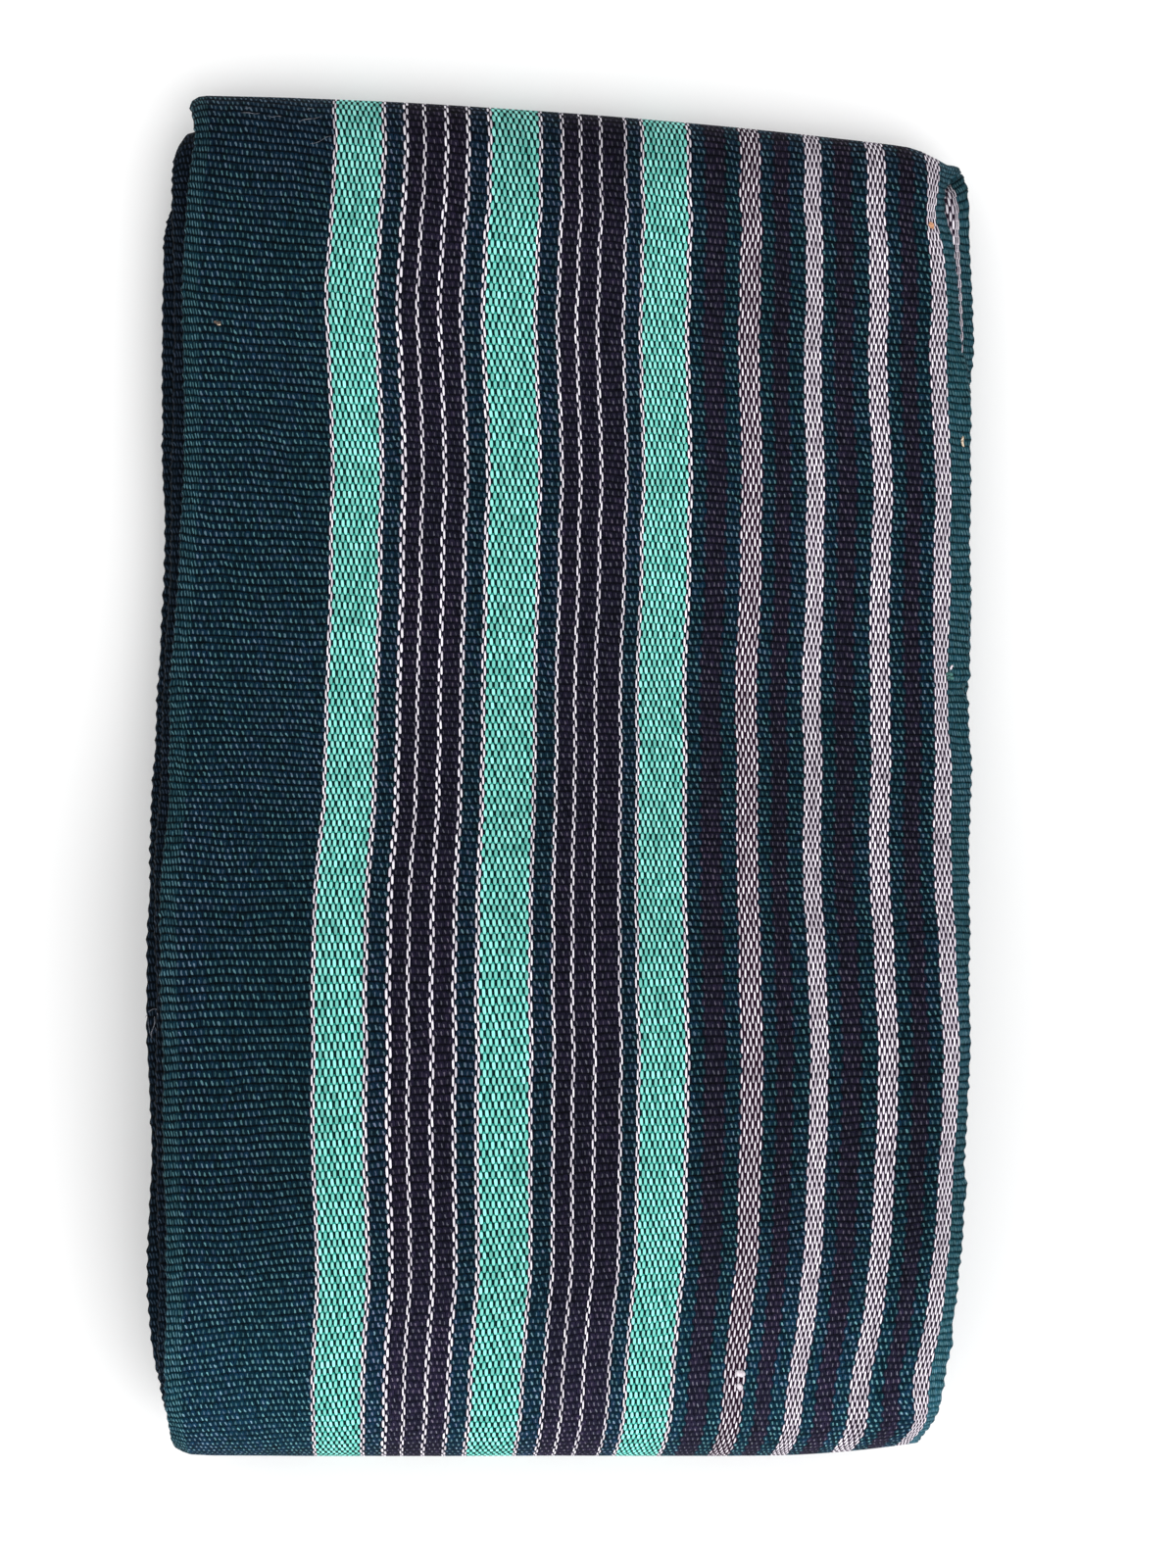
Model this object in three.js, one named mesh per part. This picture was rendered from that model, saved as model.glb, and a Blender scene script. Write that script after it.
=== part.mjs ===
// Folded aso oke cloth: one narrow hand-woven strip, wound flat into a bundle of six turns.
// Millimetres, +Z up. The bundle lies on the surface at z = 0. The strip runs along Y, its
// round bottom fold is at -Y, its thin top fold is at +Y, and its selvedges are at -X and +X.
import * as THREE from 'three';

// The cloth and how it is stacked
const CLOTH = 1.1;
const GAP = 0.3;
const LAYER = CLOTH + GAP;
const EDGE_DROOP = 0.8;

// Mesh steps: across the strip, round a fold and along a pass
const FACE_COLUMNS = 16;
const HIDDEN_COLUMNS = 10;
const FOLD_STEPS = 10;
const FACE_STEP = 5;
const BASE_STEP = 16;

// The face from the bottom fold to the top fold. height is the bundle's thickness. left and
// right are the outer turn's selvedges. The last three say how far the second and third
// turns stand out past them.
const FACE = [
  { y: -89, height: 20.5, left: -49.8, right: 44.4, secondLeft: -1.0, secondRight: -2.0, thirdLeft: -1.0 },
  { y: -82, height: 21.2, left: -50.6, right: 47.1, secondLeft: 0.6, secondRight: -1.0, thirdLeft: 0.4 },
  { y: -76, height: 21.8, left: -50.4, right: 48.2, secondLeft: 1.2, secondRight: -1.0, thirdLeft: 1.6 },
  { y: -63, height: 22.8, left: -50.1, right: 49.7, secondLeft: 1.1, secondRight: -0.8, thirdLeft: 2.1 },
  { y: -51, height: 24.3, left: -50.3, right: 50.3, secondLeft: 1.0, secondRight: -0.8, thirdLeft: 2.1 },
  { y: -38, height: 25.6, left: -50.2, right: 50.6, secondLeft: 1.0, secondRight: -0.8, thirdLeft: 2.1 },
  { y: -26, height: 25.2, left: -50.4, right: 50.7, secondLeft: 1.0, secondRight: -0.8, thirdLeft: 2.2 },
  { y: -14, height: 21.5, left: -51.0, right: 51.3, secondLeft: 1.0, secondRight: -0.8, thirdLeft: 2.0 },
  { y: -2, height: 17.4, left: -50.8, right: 51.9, secondLeft: 1.2, secondRight: -0.6, thirdLeft: 2.5 },
  { y: 11, height: 14.6, left: -50.9, right: 52.1, secondLeft: 1.2, secondRight: -0.5, thirdLeft: 1.9 },
  { y: 24, height: 13.5, left: -50.0, right: 52.5, secondLeft: 1.4, secondRight: -0.5, thirdLeft: 2.3 },
  { y: 36, height: 13.2, left: -49.6, right: 52.5, secondLeft: 1.5, secondRight: -0.4, thirdLeft: 3.0 },
  { y: 49, height: 13.0, left: -49.5, right: 52.3, secondLeft: 1.6, secondRight: 0.0, thirdLeft: 3.1 },
  { y: 58, height: 12.7, left: -49.5, right: 51.7, secondLeft: 1.6, secondRight: 1.3, thirdLeft: 3.1 },
  { y: 68, height: 12.4, left: -49.4, right: 50.6, secondLeft: 1.7, secondRight: 1.8, thirdLeft: 3.0 },
  { y: 75, height: 12.1, left: -48.9, right: 49.1, secondLeft: 2.4, secondRight: 2.7, thirdLeft: 2.8 },
  { y: 82, height: 11.9, left: -48.2, right: 50.4, secondLeft: 2.9, secondRight: 2.0, thirdLeft: 2.5 },
  { y: 87, height: 11.7, left: -49.4, right: 50.5, secondLeft: 2.0, secondRight: 1.0, thirdLeft: 2.5 },
];

// The outer turn's selvedges on the underside
const BASE = [
  { y: -89, left: -49.8, right: 44.4 },
  { y: -78, left: -50.0, right: 47.6 },
  { y: -60, left: -49.6, right: 49.4 },
  { y: 0, left: -50.2, right: 50.6 },
  { y: 60, left: -49.2, right: 51.2 },
  { y: 87, left: -49.4, right: 50.5 },
];

// Smooth curves through the tables. How far a turn stands out may also be the same all along.
const height = column(FACE, 'height');
const face = { left: column(FACE, 'left'), right: column(FACE, 'right') };
const base = { left: column(BASE, 'left'), right: column(BASE, 'right') };
const second = { left: column(FACE, 'secondLeft'), right: column(FACE, 'secondRight') };
const third = { left: column(FACE, 'thirdLeft'), right: () => -0.6 };
const flush = { left: () => 0, right: () => 0 };

// The rows of the weave, and so the folds, run slightly downhill to the right near the top
// fold: slope is their fall across the strip, and bow is how much they curve.
const ROW_SLOPE = 0.074;
const ROW_BOW = 0.00052;
const SLOPE_FROM = -20;
const SLOPE_TO = 84;

// One row for each turn that shows. bottomTip and topTip are the ends of its two folds, and
// bottomFold and topFold are how far back each fold starts. start is its end on the
// underside and tail is where it hands over to the next turn. out and baseOut are how far it
// stands out past the outer turn, on the face and on the underside.
const TURNS = [
  {
    name: 'outer_turn', level: 0, columns: FACE_COLUMNS, start: 77, tail: 64,
    bottomTip: -88.9, bottomFold: 13.5, topTip: 86.5, topFold: 6.2,
    out: flush, baseOut: 0, color: 0x17564f,
  },
  {
    name: 'second_turn', level: 1, columns: HIDDEN_COLUMNS, start: 63.6, tail: 60,
    bottomTip: -82.6, bottomFold: 10.5, topTip: 82.2, topFold: 5.2,
    out: second, baseOut: 0.5, color: 0x124740,
  },
  {
    name: 'third_turn', level: 2, columns: HIDDEN_COLUMNS, start: 59.6, tail: 71,
    bottomTip: -80.2, bottomFold: 9, topTip: 75.2, topFold: 3.6,
    out: third, baseOut: -0.6, color: 0x0f3c3a,
  },
];

// The hidden turns, as one solid: its two round ends, and how far the two edges of each of
// its layers stand out past the face, in slow waves with grooves between
const INNER_BOTTOM_TIP = -77.6;
const INNER_TOP_TIP = 70.6;
const INNER_FOLD = 5.5;
const INNER_STEP = 9;
const END_SHARES = [0.06, 0.35, 0.7];
const RIDGE_FROM = 0.25;
const RIDGE_TO = 0.75;
const EDGE_GROOVE = 1.3;
const EDGE_WAVE = 0.5;
const WAVE_LENGTH = 17;
const WAVE_STEP = 2.1;
const INNER_LAYERS = [
  { left: 0.9, right: -0.9 },
  { left: -0.4, right: 0.4 },
  { left: 1.4, right: -1.6 },
  { left: 0.2, right: -0.2 },
  { left: -0.8, right: -1.2 },
  { left: 1.1, right: 0.1 },
];

// A smooth curve through one named column of a table
function column(rows, key) {
  const places = rows.map((row) => row.y);
  const values = rows.map((row) => row[key]);
  const curve = new THREE.CubicInterpolant(places, values, 1);
  return (y) => curve.evaluate(THREE.MathUtils.clamp(y, places[0], places.at(-1)))[0];
}

// How far a row's point at x lies from the row's middle, along the strip
function rowShift(y, x) {
  const share = THREE.MathUtils.smoothstep(y, SLOPE_FROM, SLOPE_TO);
  return -share * (ROW_SLOPE * x + ROW_BOW * x * x);
}

// Places from one end of a pass to the other, about one step apart
function places(from, to, step) {
  const count = Math.max(1, Math.round(Math.abs(to - from) / step));
  return Array.from({ length: count + 1 }, (_, i) => from + ((to - from) * i) / count);
}

// Half an ellipse in the side view, as stations that go from one pass to the other
function fold(centre, reach, from, to) {
  const middle = (from + to) / 2;
  const half = (to - from) / 2;
  return Array.from({ length: FOLD_STEPS - 1 }, (_, i) => {
    const angle = -Math.PI / 2 + (Math.PI * (i + 1)) / FOLD_STEPS;
    const z = middle + half * Math.sin(angle);
    const share = (1 + Math.sin(angle)) / 2;
    return { y: centre + reach * Math.cos(angle), z, top: to > from ? share : 1 - share };
  });
}

// The middle of the cloth in the side view: underside, bottom fold, face, top fold, tail
function sidePath(turn) {
  const inset = turn.level * LAYER + CLOTH / 2;
  const faceZ = (y) => height(y) - inset;
  const bottomCentre = turn.bottomTip + turn.bottomFold;
  const topCentre = turn.topTip - turn.topFold;
  const tailZ = inset + LAYER;
  const underside = places(turn.start, bottomCentre, BASE_STEP)
    .map((y) => ({ y, z: inset, top: 0 }));
  const bottomFold = fold(bottomCentre, CLOTH / 2 - turn.bottomFold, inset, faceZ(bottomCentre));
  const across = places(bottomCentre, topCentre, FACE_STEP)
    .map((y) => ({ y, z: faceZ(y), top: 1 }));
  const topFold = fold(topCentre, turn.topFold - CLOTH / 2, faceZ(topCentre), tailZ);
  const tail = places(topCentre, turn.tail, BASE_STEP)
    .map((y) => ({ y, z: tailZ, top: 0 }));
  return [...underside, ...bottomFold, ...across, ...topFold, ...tail];
}

// A selvedge's place at a station: the face's on top, the underside's below, blended in a fold
function selvedges(turn, station) {
  const { y, top } = station;
  const mix = THREE.MathUtils.lerp;
  return {
    left: mix(base.left(y) - turn.baseOut, face.left(y) - turn.out.left(y), top),
    right: mix(base.right(y) + turn.baseOut, face.right(y) + turn.out.right(y), top),
  };
}

// A closed body from rings of points: quads between the rings, and on each end a ladder of
// quads between the ring's first half and its second half
function closedBody(rings) {
  const size = rings[0].length;
  const last = (rings.length - 1) * size;
  const positions = rings.flat().flatMap((p) => [p.x, p.y, p.z]);
  const index = [];
  const quad = (p, q, r, s) => index.push(p, q, s, q, r, s);
  for (let r = 0; r < last; r += size) {
    for (let i = 0; i < size; i += 1) {
      const next = (i + 1) % size;
      quad(r + i, r + next, r + size + next, r + size + i);
    }
  }
  for (let i = 0; i < size / 2 - 1; i += 1) {
    const facing = size - 1 - i;
    quad(i, facing, facing - 1, i + 1);
    quad(last + i, last + i + 1, last + facing - 1, last + facing);
  }
  const geometry = new THREE.BufferGeometry();
  geometry.setAttribute('position', new THREE.Float32BufferAttribute(positions, 3));
  geometry.setIndex(index);
  geometry.computeVertexNormals();
  return geometry;
}

// The cloth of one turn: its side path, given width and thickness
function turnGeometry(turn) {
  const path = sidePath(turn);
  const rings = path.map((station, i) => {
    const before = path[Math.max(i - 1, 0)];
    const after = path[Math.min(i + 1, path.length - 1)];
    const along = new THREE.Vector2(after.y - before.y, after.z - before.z).normalize();
    const { left, right } = selvedges(turn, station);
    const skin = (side) => Array.from({ length: turn.columns + 1 }, (_, c) => {
      const across = (2 * c) / turn.columns - 1;
      const x = THREE.MathUtils.lerp(left, right, c / turn.columns);
      const y = station.y + rowShift(station.y, x) - side * along.y * (CLOTH / 2);
      const z = station.z + side * along.x * (CLOTH / 2);
      return new THREE.Vector3(x, y, z - EDGE_DROOP * station.top * across ** 4);
    });
    return [...skin(1), ...skin(-1).reverse()];
  });
  return closedBody(rings);
}

// Stations of the inner solid, from the bottom fold to the top: rounded off at both ends
function innerStations() {
  const inset = TURNS.length * LAYER;
  const roundEnd = (tip, inward) => END_SHARES.map((share) => {
    const y = tip + inward * INNER_FOLD * (1 - Math.sqrt(1 - share * share));
    return { y, share };
  });
  const straight = places(INNER_BOTTOM_TIP + INNER_FOLD, INNER_TOP_TIP - INNER_FOLD, INNER_STEP)
    .map((y) => ({ y, share: 1 }));
  const all = [
    ...roundEnd(INNER_BOTTOM_TIP, 1),
    ...straight,
    ...roundEnd(INNER_TOP_TIP, -1).reverse(),
  ];
  return all.map(({ y, share }) => {
    const high = height(y) - inset - EDGE_DROOP;
    const middle = (inset + high) / 2;
    const half = (share * (high - inset)) / 2;
    return { y, low: middle - half, high: middle + half };
  });
}

// One edge of the inner solid from bottom to top: a ridge for each layer, grooves between
function layeredEdge(station, side) {
  const { y, low, high } = station;
  const outward = side === 'left' ? -1 : 1;
  const pitch = (high - low) / INNER_LAYERS.length;
  const groove = face[side](y) - outward * EDGE_GROOVE * Math.min(1, pitch);
  const layers = INNER_LAYERS.flatMap((layer, i) => {
    const wave = EDGE_WAVE * Math.sin(y / WAVE_LENGTH + WAVE_STEP * i);
    const ridge = face[side](y) + outward * (layer[side] + wave);
    return [
      { x: groove, z: low + pitch * i },
      { x: ridge, z: low + pitch * (i + RIDGE_FROM) },
      { x: ridge, z: low + pitch * (i + RIDGE_TO) },
    ];
  });
  return [...layers, { x: groove, z: high }];
}

// The hidden turns as one solid, layered at its two long edges
function innerGeometry() {
  const rings = innerStations().map((station) => {
    const outline = [...layeredEdge(station, 'left'), ...layeredEdge(station, 'right').reverse()];
    return outline.map(({ x, z }) => new THREE.Vector3(x, station.y + rowShift(station.y, x), z));
  });
  return closedBody(rings);
}

function cloth(name, geometry, color) {
  const material = new THREE.MeshStandardMaterial({ color, roughness: 0.85, metalness: 0 });
  const mesh = new THREE.Mesh(geometry, material);
  mesh.name = name;
  return mesh;
}

const group = new THREE.Group();
for (const turn of TURNS) {
  group.add(cloth(turn.name, turnGeometry(turn), turn.color));
}
group.add(cloth('inner_layers', innerGeometry(), 0x0c302f));

export default group;
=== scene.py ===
"""Looks of a folded aso oke cloth: one narrow woven strip, wound flat into a bundle.

Each turn of the strip is a thin shell on the path of its CAD solid, with real ribs, woven
edges and the photographed drift of the stripes. The weave itself is a procedural material
that reads each piece's own UV map, where one unit is one warp end across and one pick along.
Lengths in the tables are millimetres in the frame of the part.
"""

import math
from functools import partialmethod

import bpy
import numpy as np
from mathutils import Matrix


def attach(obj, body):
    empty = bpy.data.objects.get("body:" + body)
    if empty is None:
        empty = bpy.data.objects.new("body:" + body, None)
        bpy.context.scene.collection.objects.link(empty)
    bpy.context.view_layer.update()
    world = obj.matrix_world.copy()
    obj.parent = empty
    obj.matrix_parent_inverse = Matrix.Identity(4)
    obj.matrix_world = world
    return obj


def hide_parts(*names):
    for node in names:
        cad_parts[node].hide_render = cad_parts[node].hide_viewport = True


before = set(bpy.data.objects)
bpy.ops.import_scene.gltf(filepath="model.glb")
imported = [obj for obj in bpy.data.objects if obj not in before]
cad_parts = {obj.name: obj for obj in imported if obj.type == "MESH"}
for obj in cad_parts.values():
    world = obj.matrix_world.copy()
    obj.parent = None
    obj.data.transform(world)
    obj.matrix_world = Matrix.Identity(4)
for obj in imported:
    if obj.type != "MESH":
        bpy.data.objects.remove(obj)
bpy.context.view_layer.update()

bl_info = {
    "name": "Folded aso oke cloth",
    "version": (1, 0, 0),
    "blender": (4, 5, 0),
    "location": "View3D > Sidebar > Aso oke",
    "description": "Builds a flat-wound strip of warp-striped cloth around its frame",
    "category": "Object",
}

MM = 0.001

# The wall of the solids, the step from one of their turns to the next, and the woven width
CAD_CLOTH = 1.1
LAYER = 1.4


def table(names, rows):
    """Named columns from rows of numbers."""
    return dict(zip(names.split(), np.array(rows, float).T))


def records(names, rows):
    """Entries by name, from rows that start with an entry's name and go on with its values."""
    return {row[0]: dict(zip(names.split(), row[1:])) for row in rows}


def curve(columns, name):
    """A smooth curve through one named column over y, level beyond its ends."""
    places, values = columns["y"], columns[name]
    slopes = np.gradient(values, places)

    def at(y):
        y = np.clip(y, places[0], places[-1])
        i = np.clip(np.searchsorted(places, y, side="right") - 1, 0, len(places) - 2)
        step = places[i + 1] - places[i]
        t = (y - places[i]) / step
        rise = values[i + 1] - values[i]
        bend = (slopes[i] * step - rise) * (1 - t) - (slopes[i + 1] * step - rise) * t
        return values[i] + rise * t + t * (1 - t) * bend

    return at


# The face from the bottom fold to the top fold: the bundle's thickness, the outer turn's
# selvedges, and how far the second and third turns stand out past them
FACE = table(
    "y height left right second_left second_right third_left",
    [
        (-89, 20.5, -50.5, 45.2, 0.2, -2.0, 0.2),
        (-82, 21.2, -50.6, 47.3, 1.2, -1.0, 1.5),
        (-76, 21.8, -50.4, 48.2, 1.4, -1.0, 2.0),
        (-63, 22.8, -50.1, 49.7, 1.1, -0.8, 2.9),
        (-51, 24.3, -50.3, 50.3, 1.0, -0.8, 2.1),
        (-38, 25.6, -50.2, 50.6, 1.0, -0.8, 2.1),
        (-26, 25.2, -50.4, 50.7, 1.0, -0.8, 2.2),
        (-14, 21.5, -51.0, 51.3, 1.0, -0.8, 2.0),
        (-2, 17.4, -50.8, 51.9, 1.2, -0.6, 2.5),
        (11, 14.6, -50.9, 52.1, 1.2, -0.5, 1.9),
        (24, 13.5, -50.0, 52.5, 1.4, -0.5, 2.3),
        (36, 13.2, -49.6, 52.5, 1.5, -0.4, 3.0),
        (49, 13.0, -49.5, 52.3, 1.6, 0.0, 3.1),
        (58, 12.7, -49.5, 51.7, 1.6, 1.4, 3.1),
        (68, 12.4, -49.4, 50.6, 1.7, 2.6, 3.0),
        (75, 12.1, -48.9, 49.2, 2.4, 3.5, 2.8),
        (81, 11.9, -48.2, 49.3, 2.9, 3.1, 2.5),
        (87, 11.7, -49.4, 49.5, 2.0, 1.6, 2.5),
    ],
)

# Puckers of the outer turn's right selvedge: where, how far they reach along it, how far out
PUCKERS = table(
    "y reach out",
    [
        (-72.5, 1.6, 0.35),
        (-52.5, 1.6, 0.40),
        (11.6, 1.0, -0.75),
        (13.8, 1.4, 0.35),
        (52.5, 4.5, 0.60),
        (57.0, 1.2, 0.40),
        (69.5, 3.4, 0.45),
        (74.0, 2.9, 1.0),
        (85.2, 2.1, 2.7),
    ],
)

# The outer turn's selvedges on the underside
BASE = table(
    "y left right",
    [
        (-89, -50.4, 45.2),
        (-78, -50.0, 47.6),
        (-60, -49.6, 49.4),
        (0, -50.2, 50.6),
        (60, -49.2, 51.2),
        (87, -49.4, 50.5),
    ],
)

# How far each stripe has drifted across from its charted share of the width. The names are
# the left edges of the three mint stripes and of the white stripes a to d, and d's right edge.
DRIFT = table(
    "y mint1 mint2 mint3 a b c d d_right",
    [
        (-87, -0.4, 0.2, 1.1, 1.3, 1.5, 1.5, 2.7, 1.8),
        (-81, -0.3, 0.2, 0.7, 0.7, 0.6, 0.5, 0.7, 0.6),
        (-75, -0.3, 0.2, 0.5, 0.5, 0.8, 0.9, 1.0, 0.9),
        (-63, -0.2, 0.3, 0.6, 0.7, 0.9, 1.1, 1.2, 0.9),
        (-50, -0.5, 0.2, 0.7, 0.8, 1.1, 1.4, 1.6, 1.2),
        (-38, -0.7, 0.0, 0.5, 0.6, 0.9, 1.2, 1.4, 1.2),
        (-26, -0.4, 0.2, 0.5, 0.5, 0.8, 0.9, 1.0, 0.9),
        (-14, 0.0, 0.4, 0.4, 0.3, 0.2, 0.3, 0.4, 0.4),
        (-2, 0.2, 0.2, 0.0, -0.2, -0.1, 0.0, 0.1, 0.1),
        (11, 0.5, 0.4, 0.1, -0.2, -0.1, 0.3, 0.5, -0.1),
        (24, 0.0, -0.1, 0.0, -0.1, 0.0, -0.1, 0.0, 0.0),
        (36, -0.3, -0.2, 0.0, -0.1, -0.1, 0.2, 0.2, 0.0),
        (49, -0.6, -0.4, 0.0, -0.1, -0.1, 0.0, 0.1, 0.0),
        (61, -0.7, -0.2, 0.5, 0.5, 0.8, 0.8, 0.8, 0.8),
        (68, -0.3, 0.2, 0.9, 1.0, 1.3, 1.4, 1.6, 1.3),
        (74, -0.1, 0.9, 1.7, 2.0, 2.2, 2.4, 2.4, 1.9),
        (77, -0.3, 0.7, 1.5, 1.8, 2.1, 2.3, 2.4, 1.4),
        (80, -0.5, 0.5, 1.2, 1.7, 2.0, 2.2, 2.4, 1.5),
        (87, -0.1, 1.0, 1.8, 2.0, 2.5, 2.5, 2.6, 2.6),
    ],
)

# The distance between two picks down the face, and the fall of the ribs towards the right
RIBS = table(
    "y pitch fall",
    [
        (-86, 0.90, -0.08),
        (-70, 0.87, -0.08),
        (-60, 0.90, -0.07),
        (-47, 0.98, -0.05),
        (-33, 0.97, -0.03),
        (-20, 0.94, 0.00),
        (-8, 0.88, 0.02),
        (8, 0.90, 0.03),
        (22, 0.98, 0.04),
        (36, 0.92, 0.05),
        (50, 0.96, 0.06),
        (66, 0.96, 0.09),
        (84, 0.95, 0.10),
    ],
)

# The same distance wherever the cloth is underneath or inside
HIDDEN_PITCH = 0.93

# The warp, from the left selvedge to the right one: yarn, number of ends and width
WARP = [
    ("edge", 12, 2.20),
    ("green", 50, 17.30),
    ("pair", 2, 0.52),
    ("mint", 16, 5.80),
    ("pair", 2, 0.64),
    ("navy", 6, 2.15),
    ("pair", 2, 0.76),
    ("black", 5, 1.77),
    ("pair", 2, 0.50),
    ("black", 6, 2.28),
    ("pair", 2, 0.64),
    ("black", 6, 2.15),
    ("pair", 2, 0.64),
    ("navy", 6, 2.15),
    ("pair", 2, 0.64),
    ("mint", 16, 6.08),
    ("pair", 2, 0.54),
    ("navy", 6, 2.28),
    ("pair", 2, 0.50),
    ("black", 5, 1.90),
    ("pair", 2, 0.50),
    ("black", 6, 2.15),
    ("pair", 2, 0.50),
    ("black", 8, 2.78),
    ("pair", 2, 0.44),
    ("navy", 5, 1.71),
    ("pair", 2, 0.50),
    ("mint", 16, 5.57),
    ("pair", 2, 0.63),
    ("green", 5, 1.77),
    ("black", 8, 2.66),
    ("green", 6, 1.90),
    ("open", 8, 2.78),
    ("green", 5, 1.65),
    ("black", 6, 2.02),
    ("green", 6, 2.02),
    ("white", 8, 2.28),
    ("green", 5, 1.65),
    ("black", 7, 2.40),
    ("green", 6, 2.02),
    ("white", 8, 2.53),
    ("green", 5, 1.77),
    ("black", 6, 2.02),
    ("green", 5, 1.77),
    ("white", 8, 2.28),
    ("rim", 16, 2.53),
]
ENDS = sum(ends for _, ends, _ in WARP)
BORDERS = np.cumsum([0] + [ends for _, ends, _ in WARP])
SHARES = np.cumsum([0] + [width for _, _, width in WARP])
SHARES = SHARES / SHARES[-1]

# The stripe that each named drift line stands at, as its place in the warp chart
DRIFT_STRIPES = {
    "mint1": 2,
    "mint2": 14,
    "mint3": 26,
    "a": 32,
    "b": 36,
    "c": 40,
    "d": 44,
    "d_right": 45,
}

# Each yarn's colours: in the gaps, on the body of a float, and a painted highlight where the
# light would catch it. Sizes are half widths in ends and half lengths in picks of the float and
# of its painted highlight. lean is how far a float slants, catch how strong the painted
# highlight is, groove how dark the painted shade line between two ribs is, and dusk how much
# of the purple shade the yarn shows.
YARNS = records(
    "gap body crest width length lit_width lit_length lean catch groove dusk",
    [
        (
            "green",
            (0.0003, 0.0030, 0.0090), (0.0018, 0.0142, 0.0262), (0.0900, 0.1720, 0.2020),
            1.10, 0.70, 0.32, 0.31, 0.50, 0.88, 0.84, 1.0,
        ),
        (
            "edge",
            (0.0008, 0.0070, 0.0130), (0.0022, 0.0190, 0.0290), (0.0850, 0.1900, 0.2200),
            1.10, 0.70, 0.38, 0.38, 0.90, 0.75, 0.80, 0.4,
        ),
        (
            "rim",
            (0.0030, 0.0190, 0.0300), (0.0090, 0.0480, 0.0660), (0.1100, 0.2100, 0.2450),
            1.20, 0.70, 0.50, 0.36, 0.90, 0.60, 0.75, 0.4,
        ),
        (
            "mint",
            (0.0003, 0.0130, 0.0130), (0.0215, 0.3050, 0.2400), (0.3300, 0.8600, 0.7700),
            0.565, 0.64, 0.56, 0.50, 0.12, 0.95, 0.10, 0.08,
        ),
        (
            "navy",
            (0.0004, 0.0030, 0.0100), (0.0022, 0.0125, 0.0240), (0.1050, 0.1600, 0.2050),
            1.10, 0.70, 0.30, 0.32, 0.45, 0.90, 0.80, 1.0,
        ),
        (
            "black",
            (0.0012, 0.0010, 0.0050), (0.0085, 0.0075, 0.0175), (0.1200, 0.1130, 0.1450),
            1.10, 0.70, 0.22, 0.30, 0.30, 0.70, 0.75, 0.4,
        ),
        (
            "white",
            (0.0200, 0.0120, 0.0240), (0.2650, 0.2220, 0.2800), (0.9300, 0.8800, 0.9500),
            0.43, 0.80, 0.36, 0.60, -0.22, 0.95, 0.0, 0.0,
        ),
        (
            "open",
            (0.0170, 0.0060, 0.0150), (0.1450, 0.1080, 0.1500), (0.8400, 0.7900, 0.8500),
            0.36, 0.72, 0.30, 0.58, -0.24, 1.0, 0.0, 0.0,
        ),
        (
            "pair",
            (0.0025, 0.0020, 0.0080), (0.4000, 0.3600, 0.4300), (0.9000, 0.8700, 0.9200),
            0.45, 0.70, 0.36, 0.58, 0.10, 1.0, 0.0, 0.0,
        ),
    ],
)

# The rows of the weave, and so the folds, fall to the right towards the top fold: by this
# slope and bow, from nothing at SLOPE_FROM to all of it at SLOPE_TO
ROW_SLOPE = 0.074
ROW_BOW = 0.00052
SLOPE_FROM = -20.0
SLOPE_TO = 84.0

# How far a turn's two folds draw back at their corners, or reach out where it is below 0, and
# within what distance of the left and of the right selvedge they do so
CORNERS = {
    "outer": {"top": ((0.8, 1.8), (1.7, 6.0)), "bottom": ((1.0, 3.0), (1.6, 22.0))},
    "covered": {"top": ((2.4, 2.4), (-1.8, 3.6)), "bottom": ((-0.8, 3.0), (1.4, 4.0))},
}
CORNER_DEPTH = 9.0

# The three outer turns. level is how many layers they lie in, and below how far they stand
# out underneath. start and tail are the places where a turn starts and ends, bottom and top
# give each fold's tip and how far back it starts, and flat is the turn's length when it is
# laid out, in metres.
TURNS = records(
    "node rests_on level below start tail bottom top flat",
    [
        (
            "outer_turn_cloth", "outer_turn", "second_turn_cloth", 0, 0.0,
            77.0, 63.64, (-88.9, 13.5), (86.5, 6.2), 0.38,
        ),
        (
            "second_turn_cloth", "second_turn", "third_turn_cloth", 1, 0.5,
            63.6, 59.64, (-82.6, 10.5), (82.2, 5.2), 0.347,
        ),
        (
            "third_turn_cloth", "third_turn", "fourth_turn_cloth", 2, -0.6,
            59.6, 71.0, (-80.2, 9.0), (75.2, 3.6), 0.310,
        ),
    ],
)

# The three inner turns, from the outermost to the strip's inner end. left and right say how
# far their selvedges stand out past the outer turn's, underneath and on top.
INNER_TURNS = records(
    "start tail bottom top left right flat",
    [
        ("fourth_turn_cloth", 70.95, 62.55, (-77.4, 5.6), (70.4, 3.0), (0.9, 1.1), (-0.9, 0.1), 0.311),
        ("fifth_turn_cloth", 62.5, 57.55, (-74.8, 4.6), (67.6, 2.2), (-0.4, -0.8), (0.4, -1.2), 0.293),
        ("sixth_turn_cloth", 57.5, 56.0, (-72.4, 3.4), None, (1.2, 0.2), (-1.6, -0.2), 0.259),
    ],
)

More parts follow.
